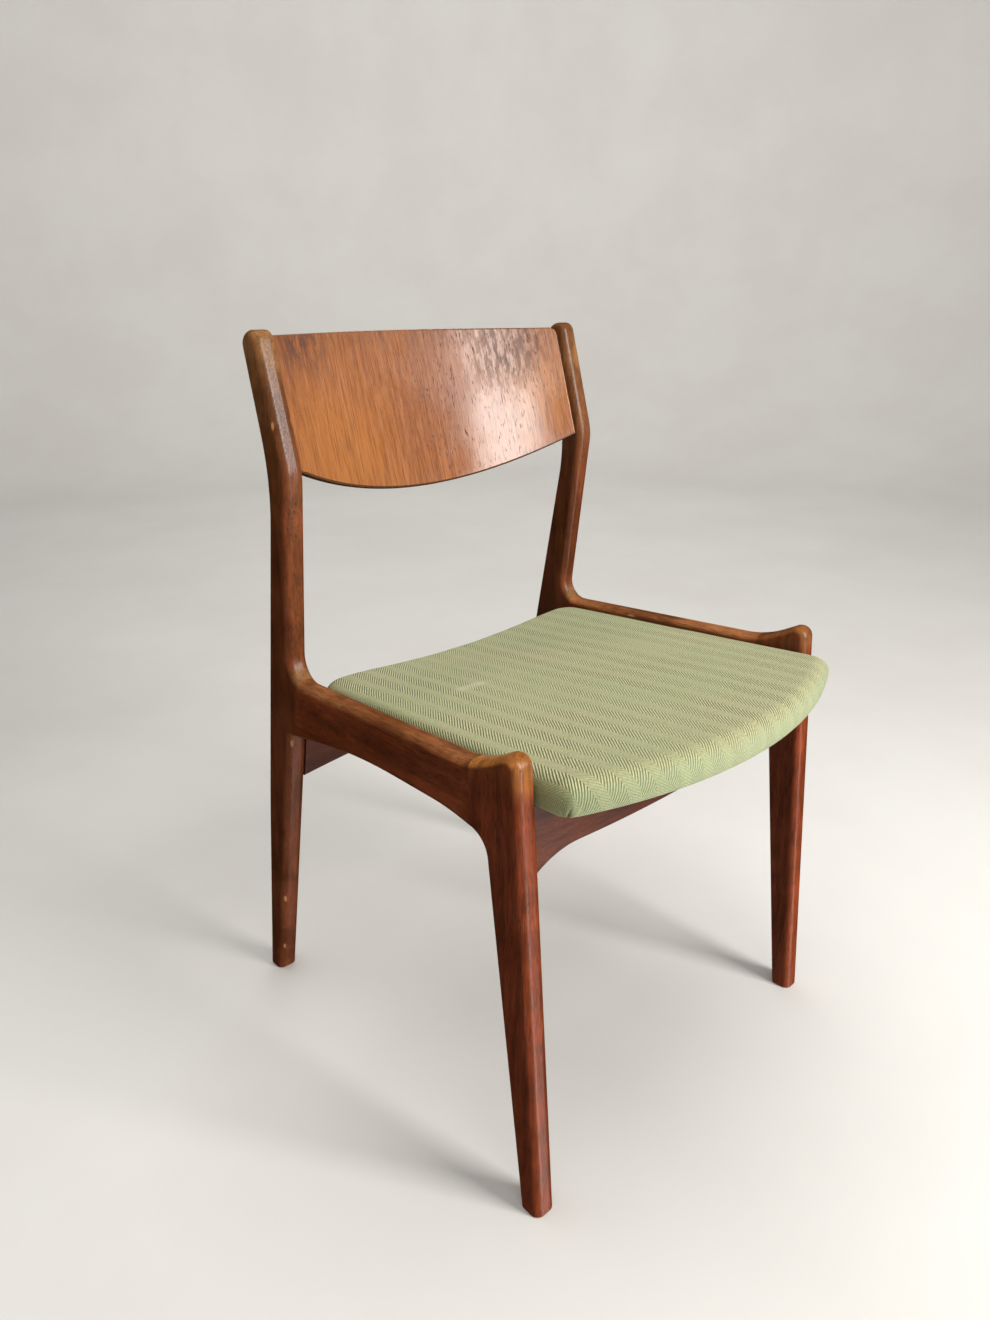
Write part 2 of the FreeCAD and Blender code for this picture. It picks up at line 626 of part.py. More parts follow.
def build_all():
    front_corner = V(inner_face_x(FRONT_RAIL_END_Y), FRONT_RAIL_END_Y + FRONT_RAIL_THICKNESS, 0)
    rear_face_y = rear_rail_front_y(REAR_RAIL_TOP_Z)
    rear_corner = V(inner_face_x(rear_face_y), rear_face_y, 0)
    places = {
        "front": (front_corner, 1, FRONT_RAIL_THICKNESS),
        "rear": (rear_corner, -1, REAR_RAIL_THICKNESS),
    }

    screw_holes, ways_in, level_screws = [], [], []
    seat_screws, seat_screw_holes = [], []
    for corner, back, rail_thickness in places.values():
        for solid, way_in in block_screws(corner, back, SCREW_HOLE_GAP):
            screw_holes += [solid, mirrored(solid)]
            ways_in += [way_in, mirrored(way_in)]
        for solid, way_in in block_screws(corner, back, 0):
            level_screws += [solid, mirrored(solid)]
        solid = seat_screw(corner, back, 0)
        hole = seat_screw(corner, back, SCREW_HOLE_GAP)
        seat_screws += [solid, mirrored(solid)]
        seat_screw_holes += [hole, mirrored(hole)]
    right_holes = [hole for hole in screw_holes if hole.BoundBox.XMax > 0]

    build_side_frames(
        panel_dowels(DOWEL_GLUE_GAP, DOWEL_END_GAP),
        front_rail_dowels(DOWEL_GLUE_GAP, DOWEL_END_GAP),
        rear_rail_dowels(DOWEL_GLUE_GAP, DOWEL_END_GAP),
        right_holes,
    )

    front_rail = make_front_rail()
    rear_rail = make_rear_rail()
    for name, (corner, back, rail_thickness) in places.items():
        body = corner_block(corner, back, rail_thickness).cut(front_rail).cut(rear_rail)
        body = cut_all(body, screw_holes + ways_in + seat_screw_holes)
        keep("corner_block_" + name + "_right", body)
        keep("corner_block_" + name + "_left", mirrored(body))
    keep("front_rail", cut_all(front_rail, front_rail_dowels(DOWEL_GLUE_GAP, DOWEL_END_GAP) + screw_holes))
    keep("rear_rail", cut_all(rear_rail, rear_rail_dowels(DOWEL_GLUE_GAP, DOWEL_END_GAP) + screw_holes))
    keep("front_rail_dowels", group(front_rail_dowels(0, 0)))
    keep("rear_rail_dowels", group(rear_rail_dowels(0, 0)))

    keep("back_panel", cut_all(make_panel(), panel_dowels(DOWEL_GLUE_GAP, DOWEL_END_GAP)))
    keep("back_panel_dowels", group(panel_dowels(0, 0)))

    board = seat_board()
    inside = pad(COVER_THICKNESS)
    opening = seat_prism(HEM_WIDTH, -COVER_THICKNESS, COVER_THICKNESS)
    cover = pad(0).cut(inside).cut(opening)
    foam = inside.cut(board)
    dust = seat_prism(DUST_COVER_INSET, -DUST_COVER_THICKNESS, 0)
    staple_holes = Part.Compound([seat_place(s) for s in staples(SCREW_HOLE_GAP)])
    for name, shape in {"board": board, "foam": foam, "cover": cover, "dust_cover": dust}.items():
        keep("seat_" + name, cut_all(seat_place(shape), seat_screw_holes + [staple_holes]))
    keep("seat_staples", Part.Compound([seat_place(s) for s in staples(0)]))
    keep("corner_block_screws", group(level_screws))
    keep("seat_screws", group(seat_screws))


build_all()
os.makedirs("parts", exist_ok=True)
for node, shape in PIECES.items():
    shape = shape.copy()
    shape.translate(V(0, -middle_y, 0))
    solids = shape.Solids
    shape = solids[0] if len(solids) == 1 else Part.Compound(solids)
    shape.exportStep("parts/" + node + ".step")
    box = shape.BoundBox
    print(node, len(solids), "valid" if shape.isValid() else "NOT VALID", round(shape.Volume / 1000, 2),
          [round(v, 1) for v in (box.XMin, box.XMax, box.YMin, box.YMax, box.ZMin, box.ZMax)])
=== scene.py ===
"""A teak dining chair with a herringbone seat: its finishes, upholstery, light and camera."""
import math

import bmesh
import bpy
from mathutils import Matrix, Vector, noise


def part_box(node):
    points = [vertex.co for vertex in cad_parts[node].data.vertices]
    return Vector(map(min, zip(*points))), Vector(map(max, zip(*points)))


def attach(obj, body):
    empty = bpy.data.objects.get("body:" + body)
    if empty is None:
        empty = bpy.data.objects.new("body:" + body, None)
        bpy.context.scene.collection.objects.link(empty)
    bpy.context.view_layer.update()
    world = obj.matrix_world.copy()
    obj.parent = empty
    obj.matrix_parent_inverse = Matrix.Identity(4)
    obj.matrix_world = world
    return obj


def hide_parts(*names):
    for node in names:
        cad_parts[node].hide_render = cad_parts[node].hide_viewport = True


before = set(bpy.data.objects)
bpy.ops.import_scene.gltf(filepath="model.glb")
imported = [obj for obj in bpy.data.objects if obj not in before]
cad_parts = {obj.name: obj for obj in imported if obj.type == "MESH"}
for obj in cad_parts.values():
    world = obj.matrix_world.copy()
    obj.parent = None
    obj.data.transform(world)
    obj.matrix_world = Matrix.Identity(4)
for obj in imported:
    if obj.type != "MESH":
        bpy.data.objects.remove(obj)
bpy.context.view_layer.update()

# The seat's own plane: level across, falling slightly towards the back
SEAT_TILT = math.radians(3.588)
SEAT_ORIGIN = Vector((0.0, -0.1945, 0.416))
SEAT_PLACE = Matrix.Translation(SEAT_ORIGIN) @ Matrix.Rotation(-SEAT_TILT, 4, "X")

# The seat's outline in that plane
SEAT_HALF_FRONT = 0.2125
SEAT_HALF_REAR = 0.2007
SEAT_CORNER = -0.0261        # where the sides meet the bowed front
SEAT_FRONT = -0.0762
SEAT_REAR = 0.3427
SEAT_MIDDLE = 0.15
FRONT_ROUND = 0.018
FRONT_TURN = 65              # degrees that the outline turns through at a front corner
REAR_ROUND = 0.026
REAR_TURN = 92

# The pad
SEAT_THICK = 0.032
TOP_ROUND = 0.015
HEM = 0.030
REAR_HOLLOW = 0.0045         # the rear edge draws in this far at its middle
REAR_DIP = 0.0070            # and its top sits this much lower there
DIP_HALF = 0.165             # half the width of that dip
SIDE_DROP = 0.0012           # the top eases down this far towards the sides
FRONT_SWELL = 0.0024         # the front edge bulges this far
CROWN = 0.0008
LUMP = 0.0006                # unevenness of the top
WAVE = 0.0007                # and of the edge

# The pleats at each front corner
PLEAT_X = SEAT_HALF_FRONT - 0.004
PLEAT_Y = SEAT_CORNER - 0.0014
PLEAT_ACROSS = (-0.75, -0.66)
TUCK_DEPTH = 0.0030
TUCK_WIDTH = 0.0013
TUCK_LEAN = 0.30
FAN_DEPTH = 0.0011
FAN_WIDTH = 0.0019
FAN_SPREAD = 34
FANS = ((0.0058, 0.5), (0.0120, 0.35), (-0.0062, 0.45), (-0.0130, 0.3))   # where each starts, and its share

# The dust cloth
DUST_MARGIN = 0.01792        # its edge inside the seat's outline
DUST_THICK = 0.0008
DUST_GAP = 0.0002            # under the hem

# The backrest
PANEL_LEAN = 0.2994
PLY_LAYER = 0.0018

# The weave
COLUMN = 0.026               # one striped column and one plain one
STRIPED_SHARE = 0.56
COLUMN_BLUR = 0.05
RIB = 0.0038                 # one rib to the next, along a column
RIB_SLOPE = 1.2


# ---------------------------------------------------------------- mixing a finish

def rgba(value):
    return (*value, 1.0) if isinstance(value, tuple) and len(value) == 3 else value


def times(factor, colour):
    return tuple(factor * part for part in colour)


class Finish:
    """A material, mixed one step at a time."""

    def __init__(self, name):
        self.material = bpy.data.materials.new(name)
        self.material.use_nodes = True
        self.tree = self.material.node_tree
        self.shader = self.tree.nodes["Principled BSDF"]
        place = self.tree.nodes.new("ShaderNodeTexCoord")
        self.place = place.outputs["Object"]
        self.normal = place.outputs["Normal"]

    def step(self, kind, inputs, **settings):
        made = self.tree.nodes.new(kind)
        for key, value in settings.items():
            setattr(made, key, value)
        for key, value in inputs.items():
            if isinstance(value, bpy.types.NodeSocket):
                self.tree.links.new(value, made.inputs[key])
            else:
                made.inputs[key].default_value = value
        return made

    def maths(self, operation, first, second=0.0):
        return self.step("ShaderNodeMath", {0: first, 1: second}, operation=operation).outputs[0]

    def product(self, *values):
        found = values[0]
        for value in values[1:]:
            found = self.maths("MULTIPLY", found, value)
        return found

    def stretched(self, place, scale=(1, 1, 1), turn=(0, 0, 0), shift=(0, 0, 0)):
        inputs = {"Vector": place, "Scale": scale, "Rotation": turn, "Location": shift}
        return self.step("ShaderNodeMapping", inputs).outputs[0]

    def cloud(self, place, scale, detail=2.0, roughness=0.5, distortion=0.0):
        inputs = {"Vector": place, "Scale": scale, "Detail": detail}
        inputs.update({"Roughness": roughness, "Distortion": distortion})
        return self.step("ShaderNodeTexNoise", inputs).outputs[0]

    def between(self, value, low, high, start=0.0, end=1.0):
        """Start where the value is low, end where it is high, and an easy change between the two."""
        inputs = {"Value": value, "From Min": low, "From Max": high, "To Min": start, "To Max": end}
        return self.step("ShaderNodeMapRange", inputs, interpolation_type="SMOOTHSTEP").outputs[0]

    def blended(self, share, first, second, how="MIX"):
        inputs = {0: share, 6: rgba(first), 7: rgba(second)}
        return self.step("ShaderNodeMix", inputs, data_type="RGBA", blend_type=how).outputs[2]

    def parts(self, vector):
        made = self.step("ShaderNodeSeparateXYZ", {0: vector})
        return made.outputs[0], made.outputs[1], made.outputs[2]

    def vector(self, operation, inputs, output=0):
        return self.step("ShaderNodeVectorMath", inputs, operation=operation).outputs[output]

    def patch(self, place, middle, reach, softness=0.6):
        """1 inside a soft round patch, 0 outside it."""
        away = self.vector("DISTANCE", {0: place, 1: middle}, "Value")
        return self.between(away, reach * softness, reach, start=1.0, end=0.0)

    def wandering(self, place, scale, amount):
        """The same place, moved about a little."""
        inputs = {"Vector": place, "Scale": scale, "Detail": 2.0}
        moved = self.step("ShaderNodeTexNoise", inputs).outputs["Color"]
        centred = self.vector("SUBTRACT", {0: moved, 1: (0.5, 0.5, 0.5)})
        scaled = self.vector("SCALE", {0: centred, "Scale": amount})
        return self.vector("ADD", {0: place, 1: scaled})

    def done(self, colour, roughness, height, depth, **fixed):
        bump = self.step("ShaderNodeBump", {"Height": height, "Distance": depth, "Strength": 1.0})
        links = self.tree.links
        links.new(bump.outputs[0], self.shader.inputs["Normal"])
        links.new(colour, self.shader.inputs["Base Color"])
        if isinstance(roughness, float):
            self.shader.inputs["Roughness"].default_value = roughness
        else:
            links.new(roughness, self.shader.inputs["Roughness"])
        for key, value in fixed.items():
            self.shader.inputs[key.replace("_", " ")].default_value = value
        return self.material


def put(material, *names):
    for name in names:
        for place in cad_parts[name].material_slots:
            place.material = material


# ---------------------------------------------------------------- teak

ALONG_GRAIN = 0.05           # patterns are this much coarser along the grain
GRAIN = {"X": (ALONG_GRAIN, 1, 1), "Y": (1, ALONG_GRAIN, 1), "Z": (1, 1, ALONG_GRAIN)}
SEED_STEPS = (1.0, 0.7, 1.3)

DEEP_TEAK = (0.036, 0.010, 0.003)       # where the stain lies thickest
PORE = (0.012, 0.005, 0.003)
BARE_TEAK = (0.52, 0.24, 0.10)          # inside a nick

# The side colours are darker than the round ones as painted shade on the flat sides
LEG_SIDE_SHADED = (0.145, 0.025, 0.0035)
LEG_ROUND = (0.215, 0.037, 0.0065)
KNOB = (0.60, 0.225, 0.048)
KNOB_RIGHT = (0.24, 0.085, 0.022)       # darker than the left knob
KNOB_FROM, KNOB_TO = 0.424, 0.462       # the height over which a front leg turns into its knob
KNOB_FLATS = 0.12                       # its flat sides are rubbed this little
POST_SIDE_SHADED = (0.125, 0.030, 0.0055)
POST_ROUND = (0.165, 0.040, 0.010)
POST_TOP = (0.27, 0.140, 0.050)
RUBBED_AND_REFLECTING_TEAK = (0.275, 0.125, 0.042)     # where hands have dulled the tops of the posts, lightened too as a painted reflection of the pale walls
RUBBED_FROM, RUBBED_TO = 0.58, 0.80
RAIL_SIDE_SHADED = (0.180, 0.035, 0.006)
RAIL_ROUND = (0.25, 0.062, 0.015)
RAIL_TOP = (0.37, 0.140, 0.048)


def part_grain(along, share):
    """A milder stretch along the grain: share 0 gives the whole stretch, 1 gives none."""
    return tuple(share + (1 - share) * part for part in GRAIN[along])


def teak_nicks(f, moved, along, sideways):
    """Small chips, kept to the roundings."""
    place = f.stretched(moved, part_grain(along, 0.35))
    cells = f.step("ShaderNodeTexVoronoi", {"Vector": place, "Scale": 62.0, "Randomness": 1.0})
    chips = f.between(cells.outputs["Distance"], 0.16, 0.09)
    where = f.product(f.between(sideways, 0.15, 0.4), f.between(sideways, 0.97, 0.9))
    some = f.between(f.cloud(moved, scale=31.0, detail=1.0), 0.50, 0.58)
    return f.product(chips, where, some)


def teak(name, along, side, round_edge, top, seed, rub=None, rub_from=0.0, rub_to=0.0, flats=1.0):
    """Dark stained teak: flat sides darker as painted shade, redder roundings, front faces lighter as painted
    window light, tops worn light and lighter still as a painted reflection, and an upper end rubbed dull, on
    the posts lighter too as a painted reflection.
    """
    f = Finish(name)
    moved = f.stretched(f.place, shift=times(seed, SEED_STEPS))
    run = f.stretched(f.wandering(moved, scale=7.0, amount=0.012), GRAIN[along])
    bands = f.cloud(run, scale=95.0, detail=3.0, roughness=0.6, distortion=0.5)
    fibres = f.cloud(run, scale=620.0, roughness=0.6)
    pores = f.between(f.cloud(run, scale=1500.0, detail=0.0), 0.64, 0.72)
    smudges = f.cloud(moved, scale=14.0, detail=3.0, roughness=0.6)
    streaks = f.cloud(f.stretched(moved, part_grain(along, 0.15)), scale=60.0, detail=3.0, roughness=0.6)

    across, back, upwards = f.parts(f.normal)
    sideways = f.maths("ABSOLUTE", across)
    # painted shade: the flat sides take the darker side colour, all other faces the round one
    rounding = f.between(sideways, 0.985, 0.80)
    paint = f.blended(rounding, side, round_edge)
    # tops worn light, and lighter too as a painted reflection of the pale walls
    worn = f.product(f.between(upwards, 0.15, 0.75), f.between(smudges, 0.25, 0.70, start=0.50, end=1.0))
    paint = f.blended(worn, paint, top)
    # painted light: faces turned to the front, toward the window, lighter in streaks
    painted_front_light = f.product(f.between(back, -0.1, -0.8), f.between(streaks, 0.42, 0.66), 0.5)
    paint = f.blended(painted_front_light, paint, times(1.3, round_edge))
    # an upper band rubbed: handled wear on the knobs, and on the posts also a painted reflection
    if rub:
        height = f.parts(f.place)[2]
        patchy = f.between(smudges, 0.30, 0.62, start=0.45, end=0.95)
        rubbed = f.product(f.between(height, rub_from, rub_to), patchy, f.maths("MAXIMUM", rounding, flats))
        paint = f.blended(rubbed, paint, rub)

    grain = f.maths("ADD", f.product(bands, 0.6), f.product(fibres, 0.4))
    tone = f.between(grain, 0.34, 0.66, start=0.66, end=1.36)
    grey = f.step("ShaderNodeCombineColor", {0: tone, 1: tone, 2: tone}).outputs[0]
    paint = f.blended(1.0, paint, grey, "MULTIPLY")
    paint = f.blended(f.between(smudges, 0.60, 0.38, start=0.0, end=0.42), paint, DEEP_TEAK)
    paint = f.blended(f.product(pores, 0.55), paint, PORE)
    nicks = teak_nicks(f, moved, along, sideways)
    paint = f.blended(f.product(nicks, 0.8), paint, BARE_TEAK)

    rough = f.maths("ADD", smudges, f.product(fibres, 0.3))
    gloss = f.between(rough, 0.45, 0.85, start=0.29, end=0.42)
    height = f.maths("SUBTRACT", f.product(fibres, 0.35), f.maths("ADD", pores, nicks))
    return f.done(paint, gloss, height, depth=0.00010, Specular_IOR_Level=0.45)


for leg, knob in (("left", KNOB), ("right", KNOB_RIGHT)):
    finish = teak("front_leg_teak_" + leg, "Z", LEG_SIDE_SHADED, LEG_ROUND, knob, 0.3, knob, KNOB_FROM, KNOB_TO,
                  KNOB_FLATS)
    put(finish, "front_leg_" + leg)
put(teak("rear_leg_teak", "Z", POST_SIDE_SHADED, POST_ROUND, POST_TOP, 1.7, RUBBED_AND_REFLECTING_TEAK, RUBBED_FROM, RUBBED_TO),
    "rear_leg_left", "rear_leg_right")
put(teak("side_rail_teak", "Y", RAIL_SIDE_SHADED, RAIL_ROUND, RAIL_TOP, 2.9), "side_rail_left", "side_rail_right")


# ---------------------------------------------------------------- the other wood

RAIL_STAIN = (0.098, 0.026, 0.014)
RAIL_WORN = (0.17, 0.042, 0.011)
RAIL_DARK = (0.02, 0.008, 0.006)
PINE_LIGHT, PINE_DARK = (0.50, 0.31, 0.14), (0.36, 0.19, 0.075)
BEECH_LIGHT, BEECH_DARK = (0.55, 0.36, 0.20), (0.45, 0.27, 0.13)
BIRCH_LIGHT, BIRCH_DARK = (0.56, 0.40, 0.22), (0.46, 0.30, 0.15)


def stained(name, along, colour, seed):
    """A rail stained purple-brown, smooth and satin."""
    f = Finish(name)
    moved = f.stretched(f.place, shift=(seed, seed, seed))
    run = f.stretched(f.wandering(moved, scale=6.0, amount=0.01), GRAIN[along])
    bands = f.cloud(run, scale=80.0, detail=3.0, roughness=0.6)
    fibres = f.cloud(run, scale=700.0, roughness=0.6)
    smudges = f.cloud(moved, scale=12.0, detail=3.0)
    paint = f.blended(f.between(bands, 0.35, 0.65), times(0.72, colour), times(1.25, colour))
    paint = f.blended(f.between(smudges, 0.5, 0.7, start=0.0, end=0.5), paint, RAIL_WORN)
    paint = f.blended(f.between(fibres, 0.60, 0.42, start=0.0, end=0.35), paint, RAIL_DARK)
    gloss = f.between(smudges, 0.3, 0.7, start=0.40, end=0.52)
    return f.done(paint, gloss, fibres, depth=0.00005, Specular_IOR_Level=0.30)


def pale_wood(name, along, light, dark, seed):
    """Unfinished wood that is hidden or under the seat."""
    f = Finish(name)
    moved = f.stretched(f.place, shift=(seed, seed, seed))
    run = f.stretched(f.wandering(moved, scale=9.0, amount=0.01), GRAIN[along])
    bands = f.cloud(run, scale=130.0, detail=3.0, roughness=0.6, distortion=0.4)
    fibres = f.cloud(run, scale=900.0, roughness=0.6)
    paint = f.blended(f.between(bands, 0.36, 0.64), light, dark)
    paint = f.blended(f.between(fibres, 0.45, 0.62, start=0.0, end=0.35), paint, times(0.5, dark))
    gloss = f.between(fibres, 0.3, 0.7, start=0.55, end=0.72)
    return f.done(paint, gloss, fibres, depth=0.00008)


put(stained("rail_stain", "X", RAIL_STAIN, 4.1), "front_rail", "rear_rail")
put(pale_wood("block_pine", "X", PINE_LIGHT, PINE_DARK, 0.9), "corner_block_front_left",
    "corner_block_front_right", "corner_block_rear_left", "corner_block_rear_right")
put(pale_wood("dowel_beech", "Y", BEECH_LIGHT, BEECH_DARK, 1.9), "side_rail_dowels_left",
    "side_rail_dowels_right", "front_rail_dowels", "rear_rail_dowels", "back_panel_dowels")
put(pale_wood("board_birch", "Y", BIRCH_LIGHT, BIRCH_DARK, 3.3), "seat_board")


# ---------------------------------------------------------------- the backrest's veneer

VENEER_DARK, VENEER_LIGHT = (0.275, 0.092, 0.034), (0.360, 0.134, 0.051)
VENEER_PLUM = (0.250, 0.098, 0.056)
VENEER_AMBER = (0.430, 0.160, 0.042)
VENEER_LINE = (0.140, 0.046, 0.017)
VENEER_FIBRE = (0.520, 0.240, 0.105)
VENEER_STAIN = (0.085, 0.034, 0.022)
VENEER_TICK = (0.022, 0.008, 0.004)
VENEER_ARRIS = (0.060, 0.020, 0.009)    # darker along the lower front edge, where the front turns downward
PLY_DARK, PLY_LIGHT = (0.060, 0.022, 0.009), (0.34, 0.17, 0.075)
# painted shade on the plies that face down
PLY_UNDER_SHADED = (0.045, 0.016, 0.008)


def veneer_patches(f, rough_place, height, speckle):
    """Where the backrest has worn amber, where it is plum, and where it is stained."""
    amber_left = f.patch(rough_place, (-0.125, 0.0, -0.045), reach=0.115, softness=0.35)
    amber_right = f.patch(rough_place, (0.172, 0.0, 0.005), reach=0.055, softness=0.3)
    plum = f.patch(rough_place, (0.065, 0.0, 0.03), reach=0.12, softness=0.2)
    stain_left = f.patch(rough_place, (-0.165, 0.0, 0.088), reach=0.080, softness=0.15)
    stain_right = f.patch(rough_place, (0.140, 0.0, 0.075), reach=0.075, softness=0.15)
    rim = f.product(f.between(height, 0.060, 0.088), 0.45)
    stain = f.maths("MAXIMUM", f.maths("MAXIMUM", stain_left, stain_right), rim)
    stain = f.product(stain, f.maths("ADD", 0.22, f.product(speckle, 0.75)))
    return f.maths("MAXIMUM", amber_left, amber_right), plum, stain


def ply_edge(f, paint, depth):
    """The plies along the top and bottom edges, those facing down darker as painted shade, and the dark lower
    arris of the front.
    """
    _, back, upwards = f.parts(f.normal)
    edge = f.between(f.maths("ABSOLUTE", upwards), 0.55, 0.85)
    wave = f.maths("SINE", f.product(depth, 2 * math.pi / PLY_LAYER))
    ply = f.blended(f.between(wave, -0.3, 0.3), PLY_DARK, PLY_LIGHT)
    # painted shade: plies facing down are darker
    ply = f.blended(f.product(f.between(upwards, 0.0, -0.6), 0.65), ply, PLY_UNDER_SHADED)
    arris = f.product(f.between(upwards, 0.22, -0.05), f.between(back, -0.1, -0.3))
    paint = f.blended(f.product(arris, 0.85), paint, VENEER_ARRIS)
    return f.blended(edge, paint, ply)


def veneer():
    """Teak veneer on the curved backrest: upright grain, amber where it has worn, dark along the top."""
    f = Finish("backrest_veneer")
    low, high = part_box("back_panel")
    middle = (low + high) / 2
    centred = f.stretched(f.place, shift=(0.0, -middle.y, -middle.z))
    flat = f.stretched(centred, turn=(PANEL_LEAN, 0, 0))
    front = f.stretched(flat, scale=(1, 0, 1))
    _, depth, height = f.parts(flat)
    wander = f.wandering(flat, scale=5.0, amount=0.006)
    run = f.stretched(wander, scale=(1, 1, 0.035))
    bands = f.cloud(run, scale=88.0, detail=4.0, roughness=0.62, distortion=0.2)
    lines = f.cloud(run, scale=560.0, detail=3.0, roughness=0.65)
    fibres = f.cloud(run, scale=1300.0, detail=1.0)
    ticks = f.between(f.cloud(f.stretched(flat, scale=(1, 1, 0.13)), scale=980.0, detail=0.0), 0.715, 0.765)
    speckled = f.cloud(f.stretched(wander, scale=(1, 1, 0.3)), scale=150.0, detail=5.0, roughness=0.75)
    speckle = f.between(speckled, 0.43, 0.57)
    rough_place = f.wandering(front, scale=16.0, amount=0.07)
    amber, plum, stain = veneer_patches(f, rough_place, height, speckle)

    paint = f.blended(f.between(bands, 0.34, 0.66), VENEER_DARK, VENEER_LIGHT)
    paint = f.blended(f.product(plum, 0.55), paint, VENEER_PLUM)
    paint = f.blended(f.product(amber, 0.60), paint, VENEER_AMBER)
    paint = f.blended(f.between(lines, 0.54, 0.38, start=0.0, end=0.55), paint, VENEER_LINE)
    paint = f.blended(f.between(fibres, 0.48, 0.66, start=0.0, end=0.35), paint, VENEER_FIBRE)
    paint = f.blended(f.product(stain, 0.85), paint, VENEER_STAIN)
    ticked = f.patch(front, (0.085, 0.0, 0.0), reach=0.15, softness=0.3)
    tick_share = f.product(ticks, f.maths("ADD", 0.25, f.product(ticked, 0.75)))
    paint = f.blended(tick_share, paint, VENEER_TICK)
    paint = ply_edge(f, paint, depth)

    cloudy = f.cloud(rough_place, scale=22.0, detail=3.0, roughness=0.6)
    gloss = f.between(cloudy, 0.35, 0.68, start=0.17, end=0.27)
    dulled = f.product(f.between(height, -0.015, 0.045), f.between(speckle, 0.1, 0.9, start=0.10, end=0.26))
    for more in (dulled, f.product(stain, 0.25), f.product(tick_share, 0.5)):
        gloss = f.maths("ADD", gloss, more)
    relief = f.maths("SUBTRACT", f.product(lines, 0.3), ticks)
    return f.done(paint, gloss, relief, depth=0.00008, Coat_Weight=0.2, Coat_Roughness=0.12)


put(veneer(), "back_panel")


# ---------------------------------------------------------------- metal

SCREW_STEEL = (0.42, 0.40, 0.36)
STAPLE_WIRE = (0.50, 0.49, 0.46)


def metal(name, colour, roughness):
    f = Finish(name)
    streaks = f.cloud(f.stretched(f.place, scale=(1, 1, 3)), scale=900.0, roughness=0.6)
    paint = f.blended(f.between(streaks, 0.45, 0.7), colour, times(0.55, colour))
    gloss = f.between(streaks, 0.3, 0.7, start=roughness - 0.08, end=roughness + 0.12)
    return f.done(paint, gloss, streaks, depth=0.00002, Metallic=0.9)


put(metal("screw_steel", SCREW_STEEL, 0.38), "corner_block_screws", "seat_screws")
put(metal("staple_wire", STAPLE_WIRE, 0.32), "seat_staples")


# ---------------------------------------------------------------- the seat's cloth

SAGE_COOL, SAGE_WARM = (0.400, 0.425, 0.215), (0.455, 0.430, 0.235)
YARN_PALE = (0.600, 0.590, 0.390)
CREST_PALE = (0.700, 0.690, 0.440)
GAP_COOL, GAP_WARM = (0.110, 0.130, 0.040), (0.150, 0.135, 0.046)
FUZZ_SHADE = (0.190, 0.195, 0.075)
LIP_SHEEN_GREEN = (0.350, 0.440, 0.275)       # painted sheen: the front roll lighter and greener where the window light grazes it
# painted shade on the sides of the pad
FLANK_SHADE_GREEN = (0.170, 0.180, 0.070)
RUBBED_WOOL = (0.640, 0.630, 0.450)
FOLD_SHADE = (0.012, 0.016, 0.006)


def wool_wear_and_painted_light(f, plan, paint):
    """The front roll lighter as painted sheen, the sides darker as painted shade, the rubbed spot near the
    back and painted shade inside the folds.
    """
    across, back, upwards = f.parts(f.normal)
    # painted sheen: the front roll lighter
    lit_lip = f.product(f.between(upwards, 0.97, 0.45), f.between(back, -0.2, -0.65), 0.42)
    paint = f.blended(lit_lip, paint, LIP_SHEEN_GREEN)
    # painted shade: the sides of the pad darker
    shaded_flank = f.between(f.maths("ABSOLUTE", across), 0.15, 0.6)
    paint = f.blended(f.product(f.between(upwards, 0.985, 0.6), shaded_flank, 0.45), paint, FLANK_SHADE_GREEN)
    spot = f.wandering(f.stretched(plan, scale=(1, 3.2, 1), turn=(0, 0, -0.26)), scale=45.0, amount=0.03)
    rubbed = f.patch(spot, (0.070, 0.655, 0.0), reach=0.034, softness=0.2)
    paint = f.blended(f.product(rubbed, 0.42), paint, RUBBED_WOOL)
    fold = f.step("ShaderNodeAttribute", {}, attribute_name="fold").outputs["Fac"]
    return f.blended(fold, paint, FOLD_SHADE)


